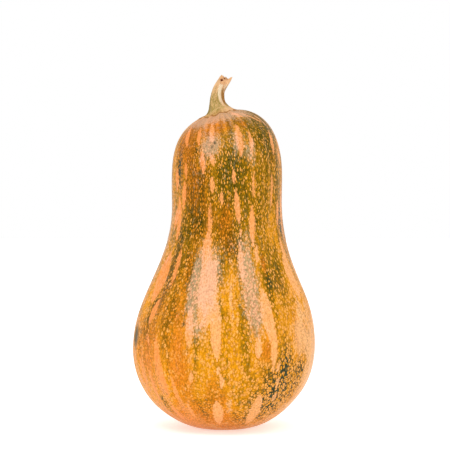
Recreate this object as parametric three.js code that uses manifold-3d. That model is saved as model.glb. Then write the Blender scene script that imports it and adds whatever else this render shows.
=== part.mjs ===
// A butternut squash standing on its blossom end: a one-piece fruit with its dry, torn-off stem.
// Millimetres, +Z up. The origin is on the surface that the squash stands on, under the middle
// of the bulb. The neck rises along +Z, and the tip of the stem leans towards +X.

import * as THREE from "three";
import { mergeVertices } from "three/addons/utils/BufferGeometryUtils.js";
import Module from "manifold-3d";

const degrees = THREE.MathUtils.degToRad;

// Fruit. Heights are measured along its core, from the blossom end to the stem end.
const fruitLength = 214.6;
const bulbRadius = 62;
const bulbHeight = 56.5;
const neckRadius = 37.5;
const neckHeight = 152;
const restRadius = 14; // the ring of skin that the squash stands on
const scarRadius = 6.5; // the hollow round the blossom scar, inside that ring
const scarDepth = 1.6;
const fullness = { foot: 16, underBulb: 38, overBulb: 37.5, underNeck: 45, overNeck: 29, crown: 41.5 };

// The core drifts a little from base to neck, then the crown bends over towards -X.
const baseDrift = new THREE.Vector2(-0.9, 0);
const neckDrift = new THREE.Vector2(1.4, 1.8);
const crownStart = 172;
const crownTilt = degrees(12);
const crownBend = (fruitLength - crownStart) / crownTilt; // radius of that bend

// Shallow ribs that run from end to end and fade out at both.
const ribs = 10;
const ribDepth = 0.011; // share of the radius
const ribPhase = degrees(12);

// Stem. Its core is given from the middle of its seat on the crown, from the root to the torn tip.
const seatShift = new THREE.Vector3(-0.2, 0, 0.9); // from the crown's pole
const stemCorePoints = [
  [1, 0, -5],
  [0, 0, 0],
  [-1.6, 0, 5],
  [-2, 0, 9.5],
  [-1, -0.6, 14.5],
  [3, -2.2, 21.4],
];
const shaftRadius = 5.2;
const tipRadius = 3.5;
const footRadius = 16;
const footLean = 0.13; // share by which the foot reaches farther towards -X
const footDrop = 1.6; // the foot's edge lies this far below the seat
const footReach = 2.3; // how fast the foot narrows into the shaft
const footRound = 77; // radius of the dome that the foot is spread over
const rootRadius = 8; // the root tapers to this inside the crown
const stemRidges = 5;
const ridgeDepth = 0.08;
const ridgePhase = degrees(-38);
const ridgeTwist = degrees(-55);
const tornLength = 8; // of the stem's end, which the tear reaches
const tearMean = -1.1;
const tearSlope = 2.4; // the tear runs lower at the front
const tearFront = degrees(-90);
const pithRadius = 2;
const pithDepth = 3;
const prongs = [
  { turn: degrees(5), width: degrees(24), height: 4.6 },
  { turn: degrees(172), width: degrees(30), height: 2.2 },
];

const seatGap = 0.3; // between the stem's foot and the skin

const roundSegments = 60;
const stemSegments = 40;
const stemSteps = 15;
const curveSteps = 15;

const wasm = await Module();
wasm.setup();

// A lathed surface whose every point is moved by place(radius, height, turn), as a closed geometry.
function shapedLathe(profile, segments, place) {
  const lathe = new THREE.LatheGeometry(profile, segments);
  const position = lathe.getAttribute("position");
  for (let i = 0; i < position.count; i++) {
    const { x: radius, y: height } = profile[i % profile.length];
    const turn = (Math.floor(i / profile.length) % segments) * ((2 * Math.PI) / segments);
    const point = place(radius, height, turn);
    position.setXYZ(i, point.x, point.y, point.z);
  }
  lathe.deleteAttribute("normal");
  lathe.deleteAttribute("uv");
  return mergeVertices(lathe, 1e-3);
}

// Closed solids, for cutting one with another.
function toSolid(geometry) {
  const vertProperties = geometry.getAttribute("position").array;
  const triVerts = new Uint32Array(geometry.index.array);
  return new wasm.Manifold(new wasm.Mesh({ numProp: 3, vertProperties, triVerts }));
}

function toGeometry(solid) {
  const { vertProperties, triVerts } = solid.getMesh();
  const geometry = new THREE.BufferGeometry();
  geometry.setAttribute("position", new THREE.BufferAttribute(vertProperties, 3));
  geometry.setIndex(new THREE.BufferAttribute(triVerts, 1));
  return geometry;
}

// Half of the fruit's lengthwise section, from the blossom scar round to the stem end.
function fruitProfile(growth) {
  const bulb = bulbRadius + growth;
  const neck = neckRadius + growth;
  const top = fruitLength + growth;
  const { foot, underBulb, overBulb, underNeck, overNeck, crown } = fullness;
  const outline = new THREE.Path();
  outline.moveTo(restRadius, 0);
  outline.bezierCurveTo(restRadius + foot, 0, bulb, bulbHeight - underBulb, bulb, bulbHeight);
  outline.bezierCurveTo(bulb, bulbHeight + overBulb, neck, neckHeight - underNeck, neck, neckHeight);
  outline.bezierCurveTo(neck, neckHeight + overNeck, crown, top, 0, top);
  const blossomScar = [
    new THREE.Vector2(0, scarDepth),
    new THREE.Vector2(scarRadius / 2, scarDepth * 0.8),
    new THREE.Vector2(scarRadius, 0),
  ];
  return [...blossomScar, ...outline.getPoints(curveSteps)];
}

// A point of the fruit: out from the core at that height, in a plane square to the bent core.
function fruitPoint(radius, height, turn) {
  const ribFade = Math.sin(Math.PI * THREE.MathUtils.clamp(height / fruitLength, 0, 1));
  const ribbed = radius * (1 + ribDepth * ribFade * Math.cos(ribs * (turn - ribPhase)));
  const drift = baseDrift.clone().lerp(neckDrift, THREE.MathUtils.smoothstep(height, 0, neckHeight));
  const bend = Math.max(0, height - crownStart) / crownBend;
  const core = new THREE.Vector3(
    drift.x - crownBend * (1 - Math.cos(bend)),
    drift.y,
    bend > 0 ? crownStart + crownBend * Math.sin(bend) : height,
  );
  const out = new THREE.Vector3(Math.cos(turn), Math.sin(turn), 0);
  return out.applyAxisAngle(new THREE.Vector3(0, 1, 0), -bend).multiplyScalar(ribbed).add(core);
}

function fruitGeometry(growth = 0) {
  return shapedLathe(fruitProfile(growth), roundSegments, fruitPoint);
}

// The middle line of the stem, from its root inside the crown to the torn tip.
function stemCore() {
  const seat = fruitPoint(0, fruitLength, 0).add(seatShift);
  const points = stemCorePoints.map((point) => new THREE.Vector3(...point).add(seat));
  return new THREE.CatmullRomCurve3(points);
}

// Half of the stem's section, by distance along its core: root, foot, shaft, torn rim and hollow pith.
function stemProfile(seatAt, tipAt) {
  const footAt = seatAt - footDrop;
  const side = [];
  for (let step = 0; step <= stemSteps; step++) {
    const along = footAt + (tipAt - footAt) * (step / stemSteps) ** 1.5;
    const shaft = THREE.MathUtils.mapLinear(along, footAt, tipAt, shaftRadius, tipRadius);
    const foot = (footRadius - shaftRadius) * Math.exp((footAt - along) / footReach);
    side.push(new THREE.Vector2(shaft + foot, along));
  }
  return [
    new THREE.Vector2(0, 0),
    new THREE.Vector2(rootRadius, 0),
    ...side,
    new THREE.Vector2((tipRadius + pithRadius) / 2, tipAt - 0.2),
    new THREE.Vector2(pithRadius, tipAt - pithDepth / 3),
    new THREE.Vector2(pithRadius / 2, tipAt - pithDepth),
    new THREE.Vector2(0, tipAt - pithDepth),
  ];
}

// How far the torn rim stands above the core's end (or below it) at a turn.
function tearRise(turn) {
  let rise = tearMean - tearSlope * Math.cos(turn - tearFront);
  for (const prong of prongs) {
    const away = Math.atan2(Math.sin(turn - prong.turn), Math.cos(turn - prong.turn));
    rise += prong.height * Math.exp(-((away / prong.width) ** 2));
  }
  return rise;
}

// The stem is lofted along its core, with ridges that run down into the toes of its foot.
function stemGeometry() {
  const core = stemCore();
  const length = core.getLength();
  const seatAt = -stemCorePoints[0][2];
  const toBack = new THREE.Vector3(0, 1, 0);

  return shapedLathe(stemProfile(seatAt, length), stemSegments, (radius, along, turn) => {
    const footShare = Math.exp(Math.min(0, seatAt - along) / footReach);
    const ridgeTurn = turn - ridgePhase - (ridgeTwist * along) / length;
    const lopsided = radius * (1 - footLean * footShare * Math.cos(turn));
    const ridged = lopsided * (1 + ridgeDepth * Math.cos(stemRidges * ridgeTurn));
    const sag = (footShare * ridged ** 2) / (2 * footRound);
    const torn = THREE.MathUtils.smoothstep(along, length - tornLength, length);
    const rise = tearRise(turn) * torn * Math.min(1, radius / tipRadius);

    const up = core.getTangentAt(along / length);
    const across = toBack.clone().cross(up).normalize();
    const back = up.clone().cross(across);
    return core
      .getPointAt(along / length)
      .addScaledVector(across, ridged * Math.cos(turn))
      .addScaledVector(back, ridged * Math.sin(turn))
      .addScaledVector(up, rise - sag);
  });
}

function makeFruit() {
  const skin = new THREE.MeshStandardMaterial({ color: 0xd08a3c, roughness: 0.45, metalness: 0 });
  const fruit = new THREE.Mesh(fruitGeometry(), skin);
  fruit.name = "fruit";
  return fruit;
}

// The stem's foot follows the crown that it grew on, so its underside is cut by the grown-out fruit.
function makeStem() {
  const uncut = toSolid(stemGeometry());
  const crown = toSolid(fruitGeometry(seatGap));
  const bark = new THREE.MeshStandardMaterial({ color: 0xb39a5c, roughness: 0.85, metalness: 0 });
  const stem = new THREE.Mesh(toGeometry(uncut.subtract(crown)), bark);
  stem.name = "stem";
  return stem;
}

const squash = new THREE.Group();
squash.name = "butternut_squash";
squash.add(makeFruit(), makeStem());

export default squash;
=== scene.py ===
import bpy
import math
import random
import numpy as np
from types import SimpleNamespace
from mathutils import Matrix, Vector, noise
from mathutils.bvhtree import BVHTree


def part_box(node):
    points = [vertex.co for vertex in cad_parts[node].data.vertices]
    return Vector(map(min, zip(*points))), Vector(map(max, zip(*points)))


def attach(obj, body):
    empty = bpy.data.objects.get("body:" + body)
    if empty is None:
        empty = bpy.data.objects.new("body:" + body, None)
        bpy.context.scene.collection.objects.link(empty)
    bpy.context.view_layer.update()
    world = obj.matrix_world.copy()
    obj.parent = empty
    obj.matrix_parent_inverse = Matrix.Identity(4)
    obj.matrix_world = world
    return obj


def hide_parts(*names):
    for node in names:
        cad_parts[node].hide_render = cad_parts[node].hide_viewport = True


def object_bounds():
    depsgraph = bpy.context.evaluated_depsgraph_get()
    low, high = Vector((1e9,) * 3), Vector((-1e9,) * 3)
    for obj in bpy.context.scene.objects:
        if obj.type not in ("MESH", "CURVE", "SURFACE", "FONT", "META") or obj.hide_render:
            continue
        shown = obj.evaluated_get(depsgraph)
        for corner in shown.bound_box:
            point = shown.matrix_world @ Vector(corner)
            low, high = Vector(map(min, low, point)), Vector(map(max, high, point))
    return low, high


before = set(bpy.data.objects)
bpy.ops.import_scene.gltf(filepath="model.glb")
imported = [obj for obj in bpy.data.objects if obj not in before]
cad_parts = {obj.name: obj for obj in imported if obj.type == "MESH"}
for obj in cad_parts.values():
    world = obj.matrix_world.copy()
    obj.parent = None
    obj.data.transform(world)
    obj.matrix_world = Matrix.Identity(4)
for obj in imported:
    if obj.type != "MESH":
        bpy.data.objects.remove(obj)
cadLow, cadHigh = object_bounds()

# Shapes below are drawn in millimetres of a squash whose fruit is this tall.
# The fruit's own box says how large it really is.
drawnHeight = 215.48
fruitLow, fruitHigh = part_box("fruit")
mm = (fruitHigh.z - fruitLow.z) / drawnHeight
print("frame loaded, squash is", round(cadHigh.z * 1000), "mm tall")


# Helpers for shapes.

def smoothStep(low, high, value):
    t = np.clip((value - low) / (high - low), 0, 1)
    return t * t * (3 - 2 * t)


def bezier(p0, p1, p2, p3, count=160):
    t = np.linspace(0, 1, count)[:, None]
    p0, p1, p2, p3 = (np.array(p, float) for p in (p0, p1, p2, p3))
    return (1 - t) ** 3 * p0 + 3 * (1 - t) ** 2 * t * p1 + 3 * (1 - t) * t ** 2 * p2 + t ** 3 * p3


def evenly(points, count):
    # the same line with its points at equal distances, and how far along each one is
    gone = np.concatenate([[0], np.cumsum(np.linalg.norm(np.diff(points, axis=0), axis=1))])
    at = np.linspace(0, gone[-1], count)
    return np.stack([np.interp(at, gone, column) for column in points.T], axis=1), at


def curvedLine(points, count):
    # a smooth line through the points
    p = np.array([points[0], *points, points[-1]], float)
    p[0], p[-1] = 2 * p[1] - p[2], 2 * p[-2] - p[-3]
    t = np.linspace(0, 1, 40)[:, None]
    line = []
    for a, b, c, d in zip(p, p[1:], p[2:], p[3:]):
        bend = (2 * a - 5 * b + 4 * c - d) * t ** 2 + (3 * b - a - 3 * c + d) * t ** 3
        line.append(0.5 * (2 * b + (c - a) * t + bend))
    return evenly(np.vstack(line), count)


def turnFrom(turn, middle):
    # signed angle in radians between two turns given in degrees
    return np.radians((turn - middle + 180) % 360 - 180)


def sideAndFront(turn):
    # how far to the right and how far forwards a turn looks, each from -1 to 1
    return np.sin(np.radians(turn)), np.cos(np.radians(turn))


def lumps(x, y, z):
    # smooth noise between about -1 and 1, one value for each point
    flat = zip(np.ravel(x), np.ravel(y), np.ravel(z))
    return np.array([noise.noise(Vector(p)) for p in flat]).reshape(np.shape(x)) * 1.6


def roundMesh(name, grid, startPole, endPole, fields):
    # rows of rings from one pole to the other, closed round the back, with its own bake map
    rows, columns = grid.shape[:2]
    points = np.vstack([grid.reshape(-1, 3), startPole, endPole])
    first, last = rows * columns, rows * columns + 1
    mapInset = 0.003
    faces, corners = [], []
    for row in range(rows - 1):
        v0, v1 = (row + 1) / (rows + 1), (row + 2) / (rows + 1)
        for column in range(columns):
            after = (column + 1) % columns
            u0, u1 = column / columns, (column + 1) / columns
            faces.append((row * columns + column, row * columns + after,
                          (row + 1) * columns + after, (row + 1) * columns + column))
            corners += [(u0, v0), (u1, v0), (u1, v1), (u0, v1)]
    for column in range(columns):
        after = (column + 1) % columns
        u0, u1 = column / columns, (column + 1) / columns
        faces.append((first, after, column))
        corners += [((u0 + u1) / 2, 0), (u1, 1 / (rows + 1)), (u0, 1 / (rows + 1))]
        faces.append((last, (rows - 1) * columns + column, (rows - 1) * columns + after))
        corners += [((u0 + u1) / 2, 1), (u0, rows / (rows + 1)), (u1, rows / (rows + 1))]

    mesh = bpy.data.meshes.new(name)
    mesh.from_pydata((points * mm).tolist(), [], faces)
    bakeMap = mesh.uv_layers.new(name="OFBake")
    bakeMap.uv.foreach_set("vector", (mapInset + (1 - 2 * mapInset) * np.array(corners)).ravel())
    for fieldName, values in fields.items():
        wide = values.ndim == 3
        ends = [values[0].mean(axis=0), values[-1].mean(axis=0)]
        flat = np.concatenate([values.reshape(-1, 3) if wide else values.ravel(), ends])
        made = mesh.attributes.new(fieldName, "FLOAT_VECTOR" if wide else "FLOAT", "POINT")
        made.data.foreach_set("vector" if wide else "value", flat.astype(np.float32).ravel())
    mesh.shade_smooth()
    piece = bpy.data.objects.new(name, mesh)
    bpy.context.scene.collection.objects.link(piece)
    return piece


# Helpers for materials. Each one that adds nodes returns the socket that holds its result.

def newMaterial(name):
    material = bpy.data.materials.new(name)
    material.use_nodes = True
    tree = material.node_tree
    return material, tree, tree.nodes["Principled BSDF"]


def paint(code):
    # a colour as an artist's hex code, turned into what the shader works in
    values = [int(code[i:i + 2], 16) / 255 for i in (0, 2, 4)]
    return [*(v / 12.92 if v <= 0.04045 else ((v + 0.055) / 1.055) ** 2.4 for v in values), 1]


def feed(tree, socket, value):
    # the value is another node's socket, a colour's hex code, or a number or vector
    if isinstance(value, bpy.types.NodeSocket):
        tree.links.new(value, socket)
    elif isinstance(value, str):
        socket.default_value = paint(value)
    else:
        socket.default_value = value


def fieldOf(tree, name, output="Fac"):
    made = tree.nodes.new("ShaderNodeAttribute")
    made.attribute_name = name
    return made.outputs[output]


def fieldsOf(tree, *names):
    return SimpleNamespace(**{name: fieldOf(tree, name) for name in names})


def maths(tree, operation, a, b=0.0):
    made = tree.nodes.new("ShaderNodeMath")
    made.operation = operation
    feed(tree, made.inputs[0], a)
    feed(tree, made.inputs[1], b)
    return made.outputs[0]


def times(tree, a, b):
    return maths(tree, "MULTIPLY", a, b)


def centred(tree, value):
    return maths(tree, "SUBTRACT", value, 0.5)


def inverse(tree, value):
    return maths(tree, "SUBTRACT", 1.0, value)


def summed(tree, start, *parts):
    # the start, plus each part's value times its share
    for value, share in parts:
        start = maths(tree, "ADD", start, times(tree, value, share))
    return start


def stretched(tree, vector, scale):
    made = tree.nodes.new("ShaderNodeVectorMath")
    made.operation = "MULTIPLY"
    feed(tree, made.inputs[0], vector)
    made.inputs[1].default_value = scale
    return made.outputs[0]


def between(tree, value, low, high):
    # a soft step from 0 at low to 1 at high
    made = tree.nodes.new("ShaderNodeMapRange")
    made.interpolation_type = "SMOOTHSTEP"
    feed(tree, made.inputs["Value"], value)
    feed(tree, made.inputs["From Min"], low)
    feed(tree, made.inputs["From Max"], high)
    return made.outputs["Result"]


def blended(tree, share, a, b, how="MIX"):
    made = tree.nodes.new("ShaderNodeMix")
    made.data_type = "RGBA"
    made.blend_type = how
    feed(tree, made.inputs[0], share)
    feed(tree, made.inputs[6], a)
    feed(tree, made.inputs[7], b)
    return made.outputs[2]


def cloud(tree, vector, detail=3, roughness=0.5):
    made = tree.nodes.new("ShaderNodeTexNoise")
    feed(tree, made.inputs["Vector"], vector)
    made.inputs["Scale"].default_value = 1
    made.inputs["Detail"].default_value = detail
    made.inputs["Roughness"].default_value = roughness
    return made.outputs["Fac"]


def wandering(tree, vector, scale, amount):
    # the same place, pushed about by noise so that a pattern on it looks grown
    shove = tree.nodes.new("ShaderNodeTexNoise")
    feed(tree, shove.inputs["Vector"], vector)
    shove.inputs["Scale"].default_value = scale
    shove.inputs["Detail"].default_value = 1
    moved = tree.nodes.new("ShaderNodeVectorMath")
    moved.operation = "MULTIPLY_ADD"
    feed(tree, moved.inputs[0], shove.outputs["Color"])
    moved.inputs[1].default_value = (amount, amount, amount)
    feed(tree, moved.inputs[2], vector)
    return moved.outputs[0]


def cells(tree, vector, feature):
    made = tree.nodes.new("ShaderNodeTexVoronoi")
    made.feature = feature
    feed(tree, made.inputs["Vector"], vector)
    made.inputs["Scale"].default_value = 1
    return made


def redOf(tree, colour):
    made = tree.nodes.new("ShaderNodeSeparateColor")
    feed(tree, made.inputs[0], colour)
    return made.outputs[0]


def addBump(tree, shader, height, strength, depth):
    bump = tree.nodes.new("ShaderNodeBump")
    bump.inputs["Strength"].default_value = strength
    bump.inputs["Distance"].default_value = depth * mm
    feed(tree, bump.inputs["Height"], height)
    tree.links.new(bump.outputs["Normal"], shader.inputs["Normal"])


# Fruit. Turns are degrees round it: 0 is the front and 90 the right side.
# Levels are shares of its height, from 0 at the blossom end to 1 at the crown.

fruit = {
    "rings": 280,
    "columns": 330,
    "coreLength": 214.6,
    "bulbRadius": 62.0,
    "bulbHeight": 56.5,
    "neckRadius": 37.5,
    "neckHeight": 152.0,
    "restRadius": 14.0,      # the ring of skin that the squash stands on
    "scarRadius": 6.5,       # the hollow round the blossom scar, inside that ring
    "scarDepth": 1.6,
    "poleRadius": 0.02,      # the innermost ring at each end
    "fullness": {
        "foot": 16, "underBulb": 38, "overBulb": 37.5,
        "underNeck": 45, "overNeck": 29, "crown": 41.5,
    },
    "baseDrift": (-0.9, 0.0),
    "neckDrift": (1.4, 1.8),
    "crownStart": 172.0,
    "crownTilt": 12.0,       # degrees that the crown leans to the left
    "ribs": 10,
    "ribDepth": 0.011,       # share of the radius
    "ribTurn": -6.0,
    "lumpDepth": 0.55,       # slow unevenness of the skin
    "lumpSize": (34, 46),    # mm, round and up
    "grooveDepth": 0.22,     # fine lengthwise grooves
    "grooveSize": (9, 60),   # how many in a sixth of a turn, and mm up
    "puckerDepth": 0.5,      # furrows round the foot of the stem
    "puckers": 13,
    "puckerReach": (14, 13),  # mm from the crown's pole, and half their length
    # the sides and back carry pale streaks too, in rows that follow the ribs
    "hiddenStreaks": {
        "seed": 11,
        "turns": (76, 284),
        "apart": (8, 15),        # degrees between rows
        "wander": 2,             # degrees off the row
        "start": (0.04, 0.14),   # levels
        "length": (0.05, 0.2),
        "gap": (0.03, 0.16),
        "end": (0.93, 0.965),    # the last one starts below the first, and stops below the second
        "width": (1.8, 3.6),
        "bulb": (0.15, 0.55),    # levels where they are wider
        "bulbWidth": 1.5,
    },
    # how much green, rust and wax the skin has before the soft areas are added
    "cover": {
        "green": 0.36,
        "greenOnNeck": 0.26,     # more from the waist up
        "greenAtFoot": -0.16,
        "greenAtCrown": -0.10,
        "greenBands": 0.10,      # long uneven bands
        "greenPatches": 0.06,    # shorter ones
        "greenRays": 0.30,       # rays on the crown, round the stem
        "rust": 0.34,
        "rustAtFoot": 0.2,
        "rustPatches": 0.15,
        "bloomPatches": 0.10,
        "bloomRays": -0.2,
        "smoothCrown": 0.75,     # fewer flecks there
        "crowding": 0.7,         # how much finer the net is on the neck than on the bulb
        "blushOnNeck": 0.55,     # warmer streaks there, as on the left
    },
    # colours and finish of the skin
    "rind": {
        "cell": 1.75,            # mm between the pale flecks
        "cellStretch": 1.55,     # how much longer they are than wide
        "noises": {              # waves to the mm across, forwards and up; detail; roughness
            "bands": ((0.16, 0.16, 0.022), 4, 0.55),
            "patches": ((0.15, 0.15, 0.07), 3, 0.5),
            "blots": ((0.34, 0.34, 0.2), 3, 0.5),
            "grain": ((1.0, 1.0, 0.65), 2, 0.5),
            "threads": ((0.42, 0.42, 0.03), 2, 0.5),
        },
        "fleck": "f4a850",
        "plain": "f9a664",
        "palePlain": "fbba7a",
        "yellow": "ee9c0a",
        "orange": "e5851c",
        "ochre": "b27a00",
        "rust": "ba6a04",
        "olive": "735b00",
        "brown": "704c00",
        "darkGreen": "3b3500",
        "slate": "3c4228",
        "warmStreak": "f8984e",
        "paleStreak": "f8b06e",
        # wax colours, which also paint the highlights and the rim reflection
        "bloom": "eeb494",
        "greyWaxAndPaintedHighlight": "bba480",
        "cork": "363c26",
        "grainDark": "c4c0bc",
        "grainLight": "ffffff",
        "fleckShare": 0.95,
        "waxAndPaintedHighlightShare": 0.68,
        "corkShare": 0.9,
        "roughness": 0.42,
        "bloomRoughness": 0.2,   # added where the wax lies
        "specular": 0.05,
        "sheen": 0.15,           # pale rim of the wax
        "sheenRoughness": 0.3,
        "bumpStrength": 0.35,
        "bumpDepth": 0.25,
    },
}


def fruitOutline(count):
    f, full = fruit, fruit["fullness"]
    rest, bulb, neck = f["restRadius"], f["bulbRadius"], f["neckRadius"]
    bulbHeight, neckHeight, top = f["bulbHeight"], f["neckHeight"], f["coreLength"]
    scar = [
        [f["poleRadius"], f["scarDepth"]],
        [f["scarRadius"] * 0.5, f["scarDepth"] * 0.8],
        [f["scarRadius"], 0.0],
    ]
    lower = bezier((rest, 0), (rest + full["foot"], 0),
                   (bulb, bulbHeight - full["underBulb"]), (bulb, bulbHeight))
    waist = bezier((bulb, bulbHeight), (bulb, bulbHeight + full["overBulb"]),
                   (neck, neckHeight - full["underNeck"]), (neck, neckHeight))
    crown = bezier((neck, neckHeight), (neck, neckHeight + full["overNeck"]),
                   (full["crown"], top), (f["poleRadius"], top))
    return evenly(np.vstack([scar, lower, waist[1:], crown[1:]]), count)


def fruitPoint(radius, height, turn):
    # out from the core at that height, square to the core where the crown bends over
    f = fruit
    (baseX, baseY), (neckX, neckY) = f["baseDrift"], f["neckDrift"]
    drift = smoothStep(0, f["neckHeight"], height)
    bendRadius = (f["coreLength"] - f["crownStart"]) / math.radians(f["crownTilt"])
    bend = np.maximum(0, height - f["crownStart"]) / bendRadius
    coreX = baseX + drift * (neckX - baseX) - bendRadius * (1 - np.cos(bend))
    coreY = baseY + drift * (neckY - baseY)
    coreZ = np.where(bend > 0, f["crownStart"] + bendRadius * np.sin(bend), height)
    side, front = sideAndFront(turn)
    return np.stack([coreX + radius * side * np.cos(bend),
                     coreY - radius * front,
                     coreZ + radius * side * np.sin(bend)], axis=-1)


# Pale streaks where the skin has no green:
# turn at the low end, turn at the high end, low level, high level, width in mm.
paleStreaks = [
    # crown and upper neck
    (-15, -16, 0.9, 0.972, 3.2), (-31, -34, 0.9, 0.962, 3.4), (-48, -57, 0.9, 0.972, 4.1),
    (-25, -27, 0.805, 0.885, 3.7), (-14, -16, 0.83, 0.873, 2.9), (-47, -48, 0.785, 0.85, 3.0),
    (15, 17, 0.855, 0.955, 5.0), (27, 30, 0.858, 0.93, 2.7), (59, 64, 0.85, 0.925, 3.7),
    (62, 40, 0.945, 0.987, 2.2), (72, 58, 0.93, 0.975, 1.8), (34, 24, 0.968, 0.99, 2.9),
    (6.5, 6.5, 0.773, 0.82, 2.6), (-64, -64, 0.75, 0.83, 3.9),
    # middle of the neck
    (27, 27.5, 0.73, 0.815, 2.3), (-15.5, -15.5, 0.745, 0.797, 3.4), (-52, -49, 0.69, 0.785, 3.9),
    (-5.5, -6, 0.705, 0.75, 2.3), (12, 9, 0.652, 0.755, 3.7), (-58, -60, 0.592, 0.74, 5.4),
    (53, 53.5, 0.7, 0.81, 2.2), (63, 65, 0.64, 0.725, 3.7), (-67, -64, 0.63, 0.7, 4.4),
    (13.5, 13.5, 0.61, 0.635, 1.5), (-17.5, -18, 0.59, 0.715, 2.9), (25, 26, 0.58, 0.71, 4.0),
    # waist and shoulder
    (-19, -18.5, 0.5, 0.64, 6.0), (13, 12, 0.465, 0.597, 3.7), (27.5, 28, 0.525, 0.59, 2.8),
    (64, 63.5, 0.5, 0.61, 4.0), (-45.5, -46.5, 0.455, 0.578, 3.8), (-62, -63.5, 0.4, 0.565, 12.0),
    (62, 62, 0.41, 0.56, 8.4), (-15, -16, 0.335, 0.585, 9.2), (-12, -10, 0.33, 0.55, 8.0),
    # bulb
    (-57.5, -54, 0.34, 0.42, 6.4), (-22, -24, 0.272, 0.4, 6.0), (-4.5, -7, 0.238, 0.43, 7.6),
    (29, 27, 0.29, 0.46, 8.8), (31, 31, 0.195, 0.36, 5.0), (20.5, 21, 0.243, 0.312, 4.6),
    (15.5, 16, 0.36, 0.395, 2.4), (-41, -47.5, 0.12, 0.31, 6.5), (-54, -58, 0.27, 0.31, 3.0),
    (-22, -21, 0.165, 0.205, 3.4), (-4, -3.5, 0.198, 0.225, 2.8), (-1, -2, 0.155, 0.2, 2.4),
    (-4.5, -5, 0.03, 0.117, 7.0), (26, 25, 0.025, 0.135, 7.4), (38, 38, 0.105, 0.135, 3.4),
    (36.5, 36, 0.15, 0.185, 2.8), (34, 35, 0.2, 0.232, 2.8), (-43, -43, 0.04, 0.1, 3.0),
    (-66, -67, 0.13, 0.235, 3.0), (-55, -56, 0.09, 0.2, 3.2), (-34, -35, 0.09, 0.19, 2.6),
    (-27, -28, 0.05, 0.11, 2.4),
]


def fruitStreaks():
    h = fruit["hiddenStreaks"]
    rng = random.Random(h["seed"])
    streaks = list(paleStreaks)
    turn, lastTurn = h["turns"]
    while turn < lastTurn:
        level = rng.uniform(*h["start"])
        while level < h["end"][0]:
            length = rng.uniform(*h["length"])
            onBulb = h["bulb"][0] < level < h["bulb"][1]
            width = rng.uniform(*h["width"]) * (h["bulbWidth"] if onBulb else 1)
            at = turn + rng.uniform(-h["wander"], h["wander"])
            highTurn = at + rng.uniform(-h["wander"], h["wander"])
            streaks.append((at, highTurn, level, min(level + length, h["end"][1]), width))
            level += length + rng.uniform(*h["gap"])
        turn += rng.uniform(*h["apart"])
    return streaks


def streakField(turn, level, girth):
    # how far inside a streak a point lies, in mm, and negative outside
    inside = np.full(turn.shape, -6.0)
    for lowTurn, highTurn, low, high, width in fruitStreaks():
        half = (high - low) / 2
        along = (level - (high + low) / 2) / half
        edge = width / 2 * np.clip(1 - along ** 2, 0, 1) ** 0.85
        beyond = np.maximum(np.abs(along) - 1, 0) * half * fruit["coreLength"]
        at = (lowTurn + highTurn) / 2 + (highTurn - lowTurn) / 2 * np.clip(along, -1, 1)
        across = np.abs(turnFrom(turn, at)) * girth
        inside = np.maximum(inside, edge - np.hypot(across, beyond))
    return inside


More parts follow.
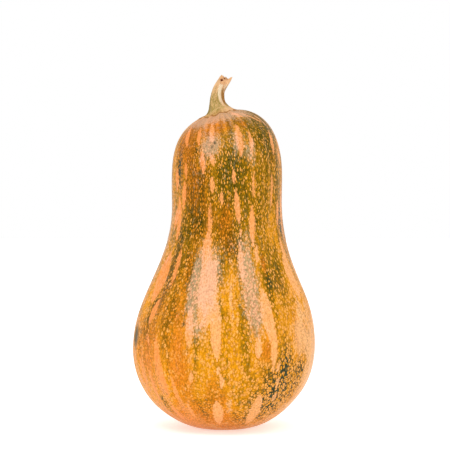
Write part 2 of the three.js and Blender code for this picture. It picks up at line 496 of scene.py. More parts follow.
# Soft areas: turn, level, half width in mm, half height in mm, amount.
greenAreas = [
    # crown and upper neck
    (1, 0.83, 8, 14, 0.35), (10, 0.8, 5, 18, 0.4), (-59, 0.83, 3, 12, 0.35),
    (-70, 0.8, 5, 26, -0.15), (-20, 0.8, 4, 16, 0.25), (52, 0.91, 10, 12, 0.35),
    (60, 0.8, 6, 24, 0.3), (48, 0.92, 12, 14, 0.25), (66, 0.965, 1.2, 8, 0.5),
    (74, 0.95, 1.5, 12, 0.5), (58, 0.97, 1.2, 8, 0.4), (-34, 0.882, 1.0, 2.4, 0.7),
    (-50, 0.91, 10, 12, 0.22), (-6, 0.955, 10, 6, -0.1), (5, 0.955, 22, 7, 0.15),
    # middle of the neck
    (-2, 0.76, 8, 14, 0.15), (-27, 0.76, 5, 12, 0.2), (-28, 0.655, 6, 12, 0.45),
    (-39, 0.66, 7, 12, 0.3), (-11, 0.63, 3, 10, 0.3), (70, 0.65, 5, 9, 0.6),
    (33, 0.75, 9, 34, 0.22), (51, 0.62, 7, 12, -0.28), (-36, 0.76, 8, 20, 0.26),
    (-3, 0.66, 8, 10, 0.05), (0, 0.72, 20, 16, 0.08),
    # waist and shoulder
    (4, 0.6, 6, 10, 0.4), (-52, 0.6, 5, 14, 0.3), (-52, 0.51, 5, 14, 0.35),
    (-34, 0.54, 6, 16, 0.25), (-29, 0.49, 3, 14, 0.4), (2, 0.53, 6, 12, 0.2),
    (-5, 0.5, 3, 12, 0.25), (34, 0.475, 4, 9, 0.45), (45, 0.5, 9, 18, 0.4),
    (33, 0.42, 4, 14, 0.25), (-50, 0.44, 7, 22, 0.2), (34, 0.485, 1.2, 2.4, 0.6),
    (35.5, 0.462, 1.0, 2.2, 0.6), (-32, 0.57, 6, 10, -0.12), (-4, 0.58, 4, 8, -0.1),
    (3, 0.45, 4, 14, -0.3), (0, 0.57, 10, 10, 0.12), (-66, 0.44, 6, 22, -0.2),
    # bulb
    (4, 0.35, 4, 18, 0.15), (36, 0.34, 4, 16, 0.15), (-40, 0.4, 14, 26, 0.22),
    (-60, 0.36, 4, 12, 0.45), (-58, 0.3, 8, 9, 0.25), (-27, 0.39, 4, 10, 0.25),
    (-2, 0.36, 3, 16, 0.2), (12, 0.36, 4, 18, 0.1), (17, 0.2, 6, 14, 0.1), (-41, 0.27, 6, 10, 0.1),
    (-17, 0.28, 8, 8, 0.2), (-17, 0.11, 10, 10, 0.1), (-15, 0.075, 9, 8, 0.18),
    (19, 0.1, 5, 12, 0.15), (14, 0.045, 11, 5, 0.2), (5, 0.06, 10, 9, 0.02),
    (-48, 0.09, 6, 8, 0.35), (35, 0.15, 8, 16, 0.14), (41.5, 0.22, 4, 14, 0.42),
    (38, 0.085, 12, 9, 0.18), (56, 0.2, 8, 12, 0.4), (55, 0.12, 5, 12, 0.2),
    (-58, 0.405, 1.5, 4, 0.9), (55, 0.415, 1.2, 2.5, 0.6), (29, 0.19, 5, 8, 0.1),
    (-28, 0.33, 4, 24, -0.22), (50, 0.31, 9, 14, -0.4), (62, 0.3, 8, 24, -0.25),
    (-14, 0.23, 6, 12, -0.12), (-68, 0.18, 18, 22, -0.3), (-44, 0.17, 12, 22, -0.16),
    (-32, 0.1, 10, 16, -0.14), (-60, 0.2, 1.8, 18, 0.3), (-50, 0.15, 1.6, 20, 0.3),
    (-37, 0.19, 1.6, 18, 0.25), (-30, 0.14, 1.6, 18, 0.25), (-67, 0.27, 1.6, 14, 0.3),
    (72, 0.14, 18, 30, -0.5), (26, 0.27, 4, 8, 0.02), (-40, 0.04, 20, 8, -0.2),
    # sides and back
    (120, 0.55, 12, 40, 0.2), (150, 0.25, 30, 30, -0.3), (205, 0.75, 20, 30, 0.2),
    (260, 0.3, 20, 30, 0.2),
]
rustAreas = [
    # crown and upper neck
    (-50, 0.9, 14, 18, 0.55), (-6, 0.955, 12, 7, 0.5), (28, 0.95, 4, 4, 0.6),
    (54, 0.84, 4, 12, 0.4), (50, 0.8, 9, 34, -0.25), (0, 0.81, 10, 16, -0.3),
    # middle of the neck
    (-37, 0.76, 9, 20, 0.4), (-3, 0.66, 9, 16, 0.4), (36, 0.76, 12, 44, -0.5),
    (30, 0.68, 12, 30, -0.3),
    # waist and shoulder
    (46, 0.46, 8, 20, 0.05), (33, 0.53, 2, 8, 0.8), (5, 0.57, 6, 8, 0.2), (3, 0.44, 5, 16, -0.2),
    # bulb
    (-40, 0.38, 16, 40, 0.38), (-58, 0.25, 12, 22, 0.4), (26, 0.26, 5, 8, 0.35),
    (-28, 0.2, 8, 24, 0.35), (-6, 0.13, 10, 16, 0.35), (-25, 0.05, 30, 10, 0.4),
    (-14, 0.23, 6, 14, -0.3), (5, 0.25, 14, 30, -0.3),
    # sides and back
    (120, 0.5, 20, 40, 0.5), (190, 0.3, 25, 30, 0.5), (240, 0.7, 20, 30, 0.5),
]
smoothAreas = [
    (-52, 0.89, 14, 20, 0.3), (-6, 0.955, 14, 8, 0.4), (-14, 0.9, 8, 8, 0.4),
    (-37, 0.76, 7, 20, 0.25),
]
slateAreas = [
    # crown and upper neck
    (-59, 0.83, 3.5, 14, 0.9), (-68, 0.8, 4, 16, 0.3),
    # middle of the neck
    (70, 0.65, 5, 9, 0.9),
    # waist and shoulder
    (35, 0.472, 1.6, 4, 0.4),
    # bulb
    (41, 0.22, 6, 18, 0.95), (34, 0.16, 10, 16, 1.0), (38, 0.085, 14, 11, 1.1),
    (57, 0.2, 10, 14, 1.1), (62, 0.13, 8, 12, 0.5), (55, 0.12, 5, 12, 0.5),
    (-15, 0.075, 9, 8, 0.45), (12, 0.05, 12, 5, 0.35), (-48, 0.09, 6, 8, 0.7),
    # sides and back
    (230, 0.2, 14, 16, 0.7),
]
# Wax bloom, and painted light: painted highlights where the two lamps shine on the neck and the bulb, and
# a painted reflection of the white room down the left rim.
waxAndPaintedHighlightAreas = [
    # crown and upper neck: wax on the crown, and painted highlights on the front of the neck
    (-14, 0.9, 6, 8, 1.0), (-20, 0.885, 5, 7, 0.5), (-26, 0.84, 3, 8, 0.3), (25, 0.87, 5, 9, 0.7),
    (11, 0.9, 3, 8, 0.6), (0, 0.995, 16, 5, 0.95), (45, 0.987, 16, 6, 0.6),
    (-50, 0.985, 16, 6, 0.75),
    # middle of the neck: a painted reflection along the left rim
    (-84, 0.66, 8, 50, 0.5),
    # waist and shoulder: painted highlights from both lamps, and a painted reflection along the left rim
    (-13, 0.5, 9, 18, 0.9), (-25, 0.5, 3, 16, 0.9), (-24, 0.43, 4, 12, 0.9),
    (18, 0.53, 5, 18, 0.9), (17, 0.43, 7, 16, 0.85), (-88, 0.45, 18, 50, 0.7),
    # bulb: painted highlights from both lamps
    (-14, 0.41, 8, 14, 0.6), (-22, 0.35, 5, 8, 0.4), (20, 0.36, 4, 12, 0.7),
    (-17, 0.33, 5, 7, 0.45),
    # sides and back
    (150, 0.5, 20, 30, 0.5), (220, 0.85, 14, 14, 0.5),
]


def areaField(turn, level, girth, areas):
    amountHere = np.zeros(turn.shape)
    for at, middle, wide, tall, amount in areas:
        across = turnFrom(turn, at) * girth / wide
        up = (level - middle) * fruit["coreLength"] / tall
        amountHere += amount * np.exp(-across ** 2 - up ** 2)
    return amountHere


# Old healed marks: turn, level, radius in mm, depth in mm.
smallScars = [
    (-12, 0.905, 0.75, 0.2), (-15, 0.893, 0.6, 0.15),
    (-74, 0.297, 4.2, 0.5), (-27, 0.348, 0.9, 0.25),
    (112, 0.42, 1.1, 0.25), (171, 0.66, 0.8, 0.2), (236, 0.24, 1.3, 0.3),
]


def fruitRelief(turn, level, radius, height, fromPole):
    # mm that the skin stands out from the smooth outline, and how healed it is
    f = fruit
    side, front = sideAndFront(turn)
    fade = smoothStep(0, 0.09, level)
    lumpRound, lumpUp = f["lumpSize"]
    grooveRound, grooveUp = f["grooveSize"]
    relief = f["lumpDepth"] * fade * lumps(
        radius * side / lumpRound, radius * front / lumpRound, height / lumpUp)
    relief += f["grooveDepth"] * fade * lumps(side * grooveRound, front * grooveRound, height / grooveUp)

    puckerMiddle, puckerHalf = f["puckerReach"]
    near = np.exp(-((fromPole - puckerMiddle) / puckerHalf) ** 2) * smoothStep(3, 10, fromPole)
    uneven = 2 * lumps(side * 2, front * 2, height * 0)
    relief += f["puckerDepth"] * near * np.cos(np.radians(turn) * f["puckers"] + uneven)

    healed = np.zeros(turn.shape)
    for at, middle, wide, deep in smallScars:
        up = (level - middle) * f["coreLength"] * 0.6
        away = np.hypot(turnFrom(turn, at) * radius, up) / wide
        relief -= deep * np.exp(-away ** 2)
        healed = np.maximum(healed, np.exp(-(away / 1.1) ** 4))
    return relief, healed


def rindFields(turn, level, radius, height, along):
    # what the rind's material reads at each point
    c = fruit["cover"]
    side, front = sideAndFront(turn)
    crowd = 1 + c["crowding"] * smoothStep(0.42, 0.72, level)
    rays = smoothStep(0.88, 0.96, level) * lumps(side * 11, front * 11, level * 4 + 3)

    green = c["green"] + c["greenOnNeck"] * smoothStep(0.42, 0.66, level)
    green += c["greenAtFoot"] * smoothStep(0.14, 0.03, level)
    green += c["greenAtCrown"] * smoothStep(0.94, 1.0, level)
    green += c["greenBands"] * lumps(side * 9, front * 9, height / 140 + 3)
    green += c["greenPatches"] * lumps(side * 11, front * 11, height / 60 + 9)
    green += areaField(turn, level, radius, greenAreas) + c["greenRays"] * rays

    rust = c["rust"] + areaField(turn, level, radius, rustAreas)
    rust += c["rustPatches"] * lumps(side * 4 + 7, front * 4, height / 55)
    rust += c["rustAtFoot"] * smoothStep(0.10, 0.02, level)

    # wax bloom, with the painted highlights and the painted rim reflection
    bloom = areaField(turn, level, radius, waxAndPaintedHighlightAreas) + c["bloomRays"] * rays
    bloom += c["bloomPatches"] * lumps(side * 3, front * 3 + 5, height / 40)

    smooth = c["smoothCrown"] * smoothStep(0.89, 0.97, level)
    blush = smoothStep(0.2, 0.7, -side) + c["blushOnNeck"] * smoothStep(0.52, 0.66, level)
    return {
        "skin": np.stack([radius * crowd * side, radius * crowd * front, along], axis=-1),
        "green": green,
        "rust": rust,
        "bloom": bloom,
        "streak": streakField(turn, level, radius),
        "slate": areaField(turn, level, radius, slateAreas),
        "smooth": smooth + areaField(turn, level, radius, smoothAreas),
        "blush": np.clip(blush, 0, 1),
    }


def makeFruit():
    f = fruit
    outline, gone = fruitOutline(f["rings"])
    turns = np.arange(f["columns"]) * 360 / f["columns"] + 180
    turn, radius = np.meshgrid(turns, outline[:, 0])
    height = np.repeat(outline[:, 1:2], f["columns"], axis=1)
    along = np.repeat(gone[:, None], f["columns"], axis=1)
    level = np.clip(height / f["coreLength"], 0, 1)

    # the relief stands square to the outline
    slope = np.gradient(outline, gone, axis=0)
    outward, upward = slope[:, 1:2], -slope[:, 0:1]
    relief, healed = fruitRelief(turn, level, radius, height, gone[-1] - along)
    ribWave = np.cos(f["ribs"] * turnFrom(turn, f["ribTurn"]))
    ribs = 1 + f["ribDepth"] * np.sin(np.pi * level) * ribWave
    grid = fruitPoint(radius * ribs + relief * outward, height + relief * upward, turn)
    grid[..., 2] = np.maximum(grid[..., 2], 0)

    poleHeights = np.array([f["scarDepth"], f["coreLength"]])
    poles = fruitPoint(np.zeros(2), poleHeights, np.zeros(2))
    fields = rindFields(turn, level, radius, height, along)
    fields["healed"] = healed
    piece = roundMesh("rind_fruit", grid, poles[0], poles[1], fields)
    piece.data.materials.append(rindMaterial())
    return piece


def rindNet(tree, skin, f, n, amount):
    # pale flecks that shrink as the green between them grows, and veins between the flecks
    cell = fruit["rind"]["cell"]
    long = cell * fruit["rind"]["cellStretch"]
    net = wandering(tree, stretched(tree, skin, (1 / cell, 1 / cell, 1 / long)), 0.9, 0.5)
    nearest = cells(tree, net, "F1")
    toEdge = cells(tree, net, "DISTANCE_TO_EDGE").outputs["Distance"]
    eachCell = centred(tree, redOf(tree, nearest.outputs["Color"]))

    reach = summed(tree, 0.6, (between(tree, amount, 0.0, 1.0), -0.26), (f.slate, 0.06),
                   (eachCell, 0.2), (n.grain, 0.2))
    reach = maths(tree, "SUBTRACT", reach, nearest.outputs["Distance"])
    flecks = times(tree, between(tree, reach, -0.05, 0.06), between(tree, toEdge, 0.02, 0.08))
    flecks = times(tree, flecks, summed(tree, 1.0, (f.smooth, -0.75)))

    veinWidth = summed(tree, 0.12, (f.slate, 0.12))
    veins = inverse(tree, between(tree, summed(tree, toEdge, (n.grain, 0.2)), 0.02, veinWidth))
    veins = times(tree, veins, summed(tree, 1.0, (f.smooth, -0.6)))
    return flecks, veins, eachCell


def rindGround(tree, f, n, rustShare, shade, veins):
    # between the flecks: from yellow and orange down to olive and brown, with the veins
    r = fruit["rind"]
    yellowSide = blended(tree, between(tree, shade, 0.3, 0.7), r["yellow"], r["ochre"])
    yellowSide = blended(tree, between(tree, shade, 0.6, 1.1), yellowSide, r["olive"])
    rustSide = blended(tree, between(tree, shade, 0.4, 0.85), r["orange"], r["rust"])
    rustSide = blended(tree, between(tree, shade, 0.85, 1.3), rustSide, r["brown"])
    ground = blended(tree, rustShare, yellowSide, rustSide)

    vein = blended(tree, between(tree, shade, 0.3, 0.75), r["ochre"], r["olive"])
    vein = blended(tree, between(tree, shade, 0.55, 1.15), vein, r["darkGreen"])
    vein = blended(tree, f.slate, vein, r["slate"])
    veinShare = times(tree, between(tree, shade, 0.05, 0.65), 0.85)
    veinShare = summed(tree, veinShare, (f.slate, 0.5))
    ground = blended(tree, times(tree, veins, veinShare), ground, vein)
    return blended(tree, times(tree, f.slate, between(tree, shade, 0.6, 1.0)), ground, r["slate"])


def rindMaterial():
    r = fruit["rind"]
    material, tree, shader = newMaterial("mottled rind with wax and painted highlights")
    skin = fieldOf(tree, "skin", "Vector")
    f = fieldsOf(tree, "green", "rust", "bloom", "streak", "healed", "slate", "smooth", "blush")
    n = SimpleNamespace(**{
        name: centred(tree, cloud(tree, stretched(tree, skin, scale), detail, roughness))
        for name, (scale, detail, roughness) in r["noises"].items()
    })
    amount = summed(tree, f.green, (n.bands, 0.6), (n.patches, 0.3), (n.blots, 0.5), (n.threads, 0.75))
    shade = summed(tree, amount, (n.grain, 0.7))

    # mottled skin
    rustShare = between(tree, summed(tree, f.rust, (n.patches, 0.5), (n.grain, 0.4)), 0.25, 0.9)
    flecks, veins, eachCell = rindNet(tree, skin, f, n, amount)
    ground = rindGround(tree, f, n, rustShare, shade, veins)
    pale = summed(tree, 0.5, (eachCell, 1.4), (amount, -0.25), (rustShare, -0.7), (n.grain, 1.2))
    bright = blended(tree, rustShare, r["yellow"], r["orange"])
    fleckColour = blended(tree, between(tree, pale, -0.1, 0.7), bright, r["fleck"])
    mottled = blended(tree, times(tree, flecks, r["fleckShare"]), ground, fleckColour)

    # plain skin where there is little green, with a faint net
    plain = blended(tree, f.blush, r["palePlain"], r["plain"])
    warm = between(tree, summed(tree, f.rust, (n.patches, 1), (n.grain, 0.6)), 0.2, 1.0)
    plain = blended(tree, times(tree, warm, 0.7), plain, r["orange"])
    faint = times(tree, times(tree, veins, between(tree, shade, -0.35, 0.1)), 0.6)
    plain = blended(tree, faint, plain, r["ochre"])
    colour = blended(tree, between(tree, amount, 0.04, 0.26), plain, mottled)

    # clean streaks with slightly ragged edges
    ragged = summed(tree, f.streak, (n.grain, 1.9), (n.blots, 1.4), (n.threads, 2.0))
    streaks = between(tree, ragged, -0.5, 0.6)
    streakColour = blended(tree, f.blush, r["paleStreak"], r["warmStreak"])
    streakShare = summed(tree, 0.9, (n.blots, 0.5), (veins, -0.16))
    colour = blended(tree, times(tree, streaks, streakShare), colour, streakColour)

    # wax bloom with painted highlights and a painted rim reflection, greyer over the ground than over the
    # flecks and streaks
    waxAndPaintedHighlightMask = summed(tree, f.bloom, (n.patches, 0.5), (n.blots, 1.1), (n.grain, 1.4))
    waxAndPaintedHighlightMask = between(tree, waxAndPaintedHighlightMask, 0.1, 0.9)
    onGround = times(tree, inverse(tree, flecks), inverse(tree, streaks))
    onGround = times(tree, onGround, summed(tree, 1.0, (f.smooth, -0.55)))
    waxAndPaintedHighlightColour = blended(tree, onGround, r["bloom"], r["greyWaxAndPaintedHighlight"])
    colour = blended(tree, times(tree, waxAndPaintedHighlightMask, r["waxAndPaintedHighlightShare"]), colour, waxAndPaintedHighlightColour)

    # fine grain and healed marks
    speckled = blended(tree, between(tree, n.grain, -0.22, 0.16), r["grainDark"], r["grainLight"])
    colour = blended(tree, summed(tree, 1.0, (streaks, -0.3)), colour, speckled, "MULTIPLY")
    colour = blended(tree, times(tree, f.healed, r["corkShare"]), colour, r["cork"])
    tree.links.new(colour, shader.inputs["Base Color"])

    rough = summed(tree, r["roughness"], (waxAndPaintedHighlightMask, r["bloomRoughness"]), (veins, 0.05), (n.grain, 0.1))
    tree.links.new(rough, shader.inputs["Roughness"])
    shader.inputs["Specular IOR Level"].default_value = r["specular"]
    shader.inputs["Sheen Weight"].default_value = r["sheen"]
    shader.inputs["Sheen Roughness"].default_value = r["sheenRoughness"]
    standing = summed(tree, times(tree, flecks, 0.5), (n.grain, 0.8))
    addBump(tree, shader, standing, r["bumpStrength"], r["bumpDepth"])
    return material


fruitPiece = makeFruit()
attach(fruitPiece, "root")
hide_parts("fruit")
print("fruit made:", len(fruitPiece.data.polygons), "faces")


# Stem. Its core is given from the seat on the crown, in mm, and lengths run along it.

stem = {
    "sideRings": 150,
    "faceRings": 26,
    "columns": 240,
    "seatShift": (-0.2, 0.0, 0.9),   # from the crown's pole
    "core": [
        (1.0, 0, -5), (0, 0, 0), (-1.6, 0, 5),
        (-2.0, 0, 9.5), (-1.0, -0.6, 14.5), (3.0, -2.2, 21.4),
    ],
    "shaftRadius": 5.2,
    "tipRadius": 3.4,
    "footRadius": 14.1,
    "footLean": 0.13,        # share by which the foot reaches farther to the left
    "footDrop": 1.3,         # the foot's edge starts this far below the seat
    "footReach": 2.4,        # how fast the foot narrows into the shaft
    "edgeDepth": 0.25,       # how deep the foot's edge is set into the skin
    "settling": 2.0,         # how far up the foot it bends to meet the skin
    "lip": 0.45,             # the foot's rim rises this much off the skin
    "lipStart": -0.1,        # from this height
    "lipLength": 0.25,       # over about this length
    "undersideShare": 0.8,   # width of the hidden ring under the foot
    "undersideDepth": 1.2,   # how far below the foot's edge it lies
    "ridges": 5,
    "ridgeDepth": 0.075,     # share of the radius
    "ridgeTurn": 52.0,
    "ridgeTwist": -55.0,
    "fibreDepth": 0.16,
    "tornLength": 8.0,       # of the stem's end, which the tear reaches
    "tearMean": -1.1,
    "tearSlope": 2.4,        # the tear runs lower at the front
    "tearRough": 0.55,
    "faceDrop": 0.25,        # the torn face lies this far below its rim
    "prongs": [(95, 22, 4.7), (262, 28, 2.2)],     # turn, half width in degrees, height
    "prongSpread": 0.12,     # how far a prong leans out for each mm of its height
    # holes in the torn face: across and forwards in shares of the tip's radius, radius in mm
    "pits": [(-0.35, 0.25, 0.85), (-0.1, -0.6, 0.7), (0.5, -0.25, 0.65)],
    "pitDepth": 1.7,
    # colours and finish of the stem
    "bark": {
        "strands": (1.1, 1.1, 0.16),     # how often it changes across, forwards and up
        "blotches": (0.7, 0.7, 0.45),
        "specks": (2.4, 2.4, 1.4),
        "khaki": "ceac68",
        "green": "9c8a34",
        "cream": "ffe9c4",
        "tan": "d8a05e",
        "brown": "a86c24",
        "darkOlive": "7e6e1c",
        "peach": "f4c492",
        "pith": "e8ac74",
        "pit": "7c3410",
        "strandDark": "a8a098",
        "strandLight": "ffffff",
        "roughness": 0.68,
        "specular": 0.25,
        "bumpStrength": 0.6,
        "bumpDepth": 0.3,
    },
}


def stemRadius(turn, along, footAt, tipAt):
    # five ridges that turn as they rise, with fine fibres between them, and a flared foot
    s = stem
    side, front = sideAndFront(turn)
    shaft = np.interp(along, [footAt, tipAt], [s["shaftRadius"], s["tipRadius"]])
    foot = np.exp((footAt - along) / (s["footReach"] * (1 - 0.2 * side)))
    ridge = np.cos(s["ridges"] * turnFrom(turn, s["ridgeTurn"] + s["ridgeTwist"] * along / tipAt))
    crest = ridge + 0.25 * ridge ** 2 * np.sign(ridge)
    fibres = lumps(side * 7, front * 7, along * 0.12)
    fibres = fibres + 0.6 * lumps(side * 15, front * 15, along * 0.2 + 4)
    footRadius = s["footRadius"] * (1 - s["footLean"] * side)
    radius = (shaft + (footRadius - shaft) * foot) * (1 + s["ridgeDepth"] * crest)
    return radius + s["fibreDepth"] * fibres * (1 + foot), ridge


def pithPits(turn, share):
    # holes in the torn face, 1 in the middle of each
    tip = stem["tipRadius"]
    side, front = sideAndFront(turn)
    pits = np.zeros(turn.shape)
    for x, y, wide in stem["pits"]:
        away = np.hypot(share * side * tip - x * tip, share * front * tip - y * tip)
        pits = np.maximum(pits, np.where(share < 1, np.exp(-(away / wide) ** 4), 0))
    return pits


def tornEnd(turn, along, share, tipAt):
    # how far the tear lifts each point along the core, and how far its prongs lean out
    s = stem
    side, front = sideAndFront(turn)
    tear = s["tearMean"] - s["tearSlope"] * front
    tear = tear + s["tearRough"] * lumps(side * 8, front * 8, along * 0 + 2)
    spread = np.zeros(turn.shape)
    for at, wide, tall in s["prongs"]:
        bump = np.exp(-(np.degrees(turnFrom(turn, at)) / wide) ** 2)
        tear = tear + tall * bump
        spread += s["prongSpread"] * tall * bump
    rim = smoothStep(0.45, 0.95, share)
    torn = smoothStep(tipAt - s["tornLength"], tipAt, along) * rim
    onFace = share < 1
    rise = tear * torn + onFace * (tear * 0.35 * (1 - rim) * share - s["faceDrop"])
    return rise, spread * torn ** 2


def settleFoot(grid, along, share, footAt, crown):
    # bring the foot down onto the crown: its edge a little into the skin, its toes lying on it
    s = stem
    above, down = Vector((0, 0, 20 * mm)), Vector((0, 0, -1))     # where each ray starts and goes
    for column in range(s["columns"]):
        edge = grid[0, column]
        skin = crown.ray_cast(Vector(edge * mm) + above, down)[0]
        drop = skin.z / mm - s["edgeDepth"] - edge[2]
        fade = np.exp((footAt - along[:, column]) / s["settling"]) * (share[:, column] == 1)
        grid[:, column, 2] += drop * fade
        for row in range(1, s["sideRings"] // 3):
            skin = crown.ray_cast(Vector(grid[row, column] * mm) + above, down)[0]
            thickness = 1 - math.exp((footAt - along[row, column]) / s["lipLength"])
            standing = s["lip"] * thickness + s["lipStart"]
            grid[row, column, 2] = max(grid[row, column, 2], skin.z / mm + standing)


def makeStem(crown):
    s = stem
    pole = fruitPoint(np.array(0.0), np.array(fruit["coreLength"]), np.array(0.0))
    seat = pole + np.array(s["seatShift"])
    core, gone = curvedLine(s["core"], 400)
    core = core + seat
    seatAt = gone[np.argmin(np.linalg.norm(core - seat, axis=1))]
    footAt, tipAt = seatAt - s["footDrop"], gone[-1]

    # rings up the side, closer together at the foot, then in over the torn face
    turns = np.arange(s["columns"]) * 360 / s["columns"] + 180
    sideRings = footAt + (tipAt - footAt) * np.linspace(0, 1, s["sideRings"]) ** 1.25
    inward = np.linspace(1, 0.01, s["faceRings"] + 1)[1:]
    turn, along = np.meshgrid(turns, np.concatenate([sideRings, np.full(s["faceRings"], tipAt)]))
    share = np.meshgrid(turns, np.concatenate([np.ones(s["sideRings"]), inward]))[1]

    radius, ridge = stemRadius(turn, along, footAt, tipAt)
    rise, spread = tornEnd(turn, along, share, tipAt)
    pits = pithPits(turn, share)
    rise = rise - s["pitDepth"] * pits

    # loft the rings along the core
    side, front = sideAndFront(turn)
    index = np.clip(np.searchsorted(gone, along), 0, len(gone) - 1)
    up = np.gradient(core, gone, axis=0)[index]
    up = up / np.linalg.norm(up, axis=-1, keepdims=True)
    across = np.cross(np.array([0.0, 1.0, 0.0]), up)
    across /= np.linalg.norm(across, axis=-1, keepdims=True)
    back = np.cross(up, across)
    out = (radius * share + spread)[..., None]
    grid = core[index] + out * (across * side[..., None] - back * front[..., None]) + up * rise[..., None]
    settleFoot(grid, along, share, footAt, crown)

    # one more ring under the foot, out of sight inside the fruit
    middle = grid[0].mean(axis=0)
    underside = middle + (grid[0] - middle) * s["undersideShare"] - np.array([0, 0, s["undersideDepth"]])
    grid = np.concatenate([underside[None], grid])
    fields = {
        "bark": np.stack([side * 5, front * 5, along], axis=-1),
        "ridge": ridge,
        "upStem": (along - footAt) / (tipAt - footAt),
        "onFace": 1 - share,
        "pit": pits,
        "towardsFront": front,
        "towardsRight": side,
    }
    fields = {name: np.concatenate([values[:1], values]) for name, values in fields.items()}
    piece = roundMesh("stem_dry", grid, underside.mean(axis=0), grid[-1].mean(axis=0), fields)
    piece.data.materials.append(stemMaterial())
    return piece


def stemMaterial():
    b = stem["bark"]
    material, tree, shader = newMaterial("dry ridged stem")
    place = fieldOf(tree, "bark", "Vector")
    f = fieldsOf(tree, "ridge", "upStem", "onFace", "pit", "towardsFront", "towardsRight")
    strands = cloud(tree, stretched(tree, place, b["strands"]), 4, 0.6)
    blotches = cloud(tree, stretched(tree, place, b["blotches"]), 3)
    specks = cloud(tree, stretched(tree, place, b["specks"]), 2)
    frayed = centred(tree, strands)

    # khaki and green, speckled with peach, and browner down the right side as painted shade
    colour = blended(tree, between(tree, blotches, 0.4, 0.6), b["khaki"], b["green"])
    colour = blended(tree, times(tree, between(tree, strands, 0.52, 0.7), 0.6), colour, b["tan"])
    colour = blended(tree, times(tree, between(tree, specks, 0.46, 0.64), 0.6), colour, b["peach"])
    # painted shade: brown laid down the lower right side, away from the stronger lamp
    paintedShadeOnRight = times(tree, between(tree, f.towardsRight, 0.3, 0.9), between(tree, f.upStem, 0.06, 0.3))
    colour = blended(tree, times(tree, paintedShadeOnRight, 0.8), colour, b["brown"])
    farLeft = between(tree, f.towardsRight, -0.75, -1.0)
    colour = blended(tree, times(tree, farLeft, 0.6), colour, b["darkOlive"])

    # pale where the bark has worn off: the upper end and one long scar down the front
    pale = summed(tree, f.upStem, (frayed, 0.7), (f.towardsRight, -0.1))
    colour = blended(tree, times(tree, between(tree, pale, 0.5, 0.85), 0.85), colour, b["peach"])
    fromLeft = between(tree, summed(tree, f.towardsRight, (frayed, 0.3)), -0.45, -0.1)
    onFront = times(tree, between(tree, f.towardsFront, 0.2, 0.7), fromLeft)
    worn = summed(tree, f.ridge, (f.upStem, 1.6), (frayed, 1))
    scar = times(tree, between(tree, worn, 0.85, 1.3), onFront)
    scarColour = blended(tree, between(tree, f.upStem, 0.1, 0.5), b["peach"], b["cream"])
    colour = blended(tree, times(tree, scar, 0.85), colour, scarColour)

    # the foot: tan toes, paler on the right, with a brown line of painted shade where they meet the skin
    foot = summed(tree, f.upStem, (frayed, 0.08))
    colour = blended(tree, times(tree, between(tree, foot, 0.14, 0.04), 0.65), colour, b["tan"])
    onRight = times(tree, between(tree, f.towardsRight, 0.0, 0.6), 0.7)
    colour = blended(tree, times(tree, between(tree, foot, 0.14, 0.06), onRight), colour, b["peach"])
    # painted shade: a brown line along the foot's edge, where it meets the skin
    colour = blended(tree, times(tree, between(tree, foot, 0.035, 0.018), 0.85), colour, b["brown"])

    # the torn end
    ends = blended(tree, between(tree, specks, 0.42, 0.62), b["pith"], b["peach"])
    colour = blended(tree, between(tree, f.onFace, 0.02, 0.3), colour, ends)
    colour = blended(tree, between(tree, f.pit, 0.12, 0.5), colour, b["pit"])

    strandTone = blended(tree, strands, b["strandDark"], b["strandLight"])
    colour = blended(tree, 0.8, colour, strandTone, "MULTIPLY")
    tree.links.new(colour, shader.inputs["Base Color"])
    shader.inputs["Roughness"].default_value = b["roughness"]
    shader.inputs["Specular IOR Level"].default_value = b["specular"]
    addBump(tree, shader, summed(tree, strands, (specks, 0.4)), b["bumpStrength"], b["bumpDepth"])
    return material


crownSurface = BVHTree.FromPolygons([v.co for v in fruitPiece.data.vertices],
                                    [p.vertices for p in fruitPiece.data.polygons])
stemPiece = makeStem(crownSurface)
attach(stemPiece, "root")
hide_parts("stem")
print("stem made:", len(stemPiece.data.polygons), "faces")


# Studio. Turns and elevations are as seen from the squash, in degrees.

studio = {
    "floorSize": 6.0,
    "floorTone": 0.82,
    "floorGlow": 0.5,
    "floorRoughness": 0.9,
    "floorSpecular": 0.1,
    "skyStrength": 1.0,
    "lamps": [               # turn, elevation, distance, size, power
        (-30, 52, 1.1, 0.4, 2.6),
        (40, 50, 1.2, 0.4, 1.6),
    ],
    "sensorWidth": 36,
    "viewAcross": 0.306,     # metres that the view takes in at the squash
    "viewDistance": 1.275,
    "viewElevation": 2.0,
    "aimLevel": 0.575,       # share of the squash's height
}


def wayTo(turn, elevation):
    # the direction of something seen from the squash
    turn, elevation = math.radians(turn), math.radians(elevation)
    level = math.cos(elevation)
    return Vector((math.sin(turn) * level, -math.cos(turn) * level, math.sin(elevation)))


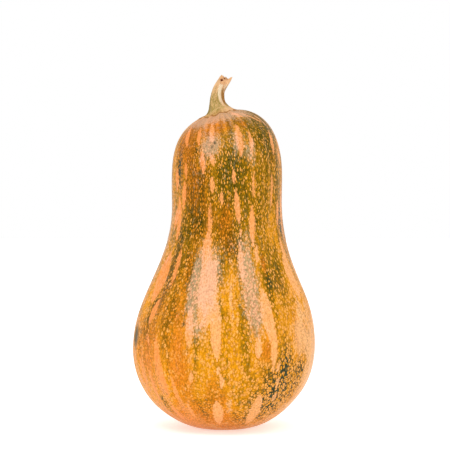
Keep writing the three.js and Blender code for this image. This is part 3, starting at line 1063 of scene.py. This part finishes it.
def placeFacing(name, data, aim, way, distance):
    # stands it off from the aim and turns it to look there
    placed = bpy.data.objects.new(name, data)
    placed.location = aim + way * distance
    placed.rotation_euler = (-way).to_track_quat("-Z", "Y").to_euler()
    bpy.context.scene.collection.objects.link(placed)
    return placed


def makeFloor():
    s = studio
    half = s["floorSize"] / 2
    corners = [(-half, -half, 0), (half, -half, 0), (half, half, 0), (-half, half, 0)]
    mesh = bpy.data.meshes.new("studio_floor")
    mesh.from_pydata(corners, [], [(0, 1, 2, 3)])
    floor = bpy.data.objects.new("studio_floor", mesh)
    bpy.context.scene.collection.objects.link(floor)
    material, tree, shader = newMaterial("matt white floor")
    shader.inputs["Base Color"].default_value = (s["floorTone"],) * 3 + (1,)
    shader.inputs["Roughness"].default_value = s["floorRoughness"]
    shader.inputs["Specular IOR Level"].default_value = s["floorSpecular"]
    shader.inputs["Emission Color"].default_value = (1, 1, 1, 1)
    shader.inputs["Emission Strength"].default_value = s["floorGlow"]
    mesh.materials.append(material)


def lightStudio(aim):
    world = bpy.data.worlds.new("soft white studio")
    world.use_nodes = True
    sky = world.node_tree.nodes["Background"]
    sky.inputs["Color"].default_value = (1, 1, 1, 1)
    sky.inputs["Strength"].default_value = studio["skyStrength"]
    bpy.context.scene.world = world
    for number, (turn, elevation, distance, size, power) in enumerate(studio["lamps"], 1):
        lamp = bpy.data.lights.new(f"soft_box_{number}", "AREA")
        lamp.shape, lamp.size, lamp.energy = "DISK", size, power
        placeFacing(lamp.name, lamp, aim, wayTo(turn, elevation), distance)


def placeCamera(aim):
    s = studio
    lens = bpy.data.cameras.new("camera")
    lens.sensor_width = s["sensorWidth"]
    lens.lens = s["sensorWidth"] * s["viewDistance"] / s["viewAcross"]
    camera = placeFacing("camera", lens, aim, wayTo(0, s["viewElevation"]), s["viewDistance"])
    bpy.context.scene.camera = camera
    bpy.context.scene.view_settings.view_transform = "Standard"


studioAim = Vector((0, 0, cadHigh.z * studio["aimLevel"]))
makeFloor()
lightStudio(studioAim)
placeCamera(studioAim)
print("studio lit and camera placed")
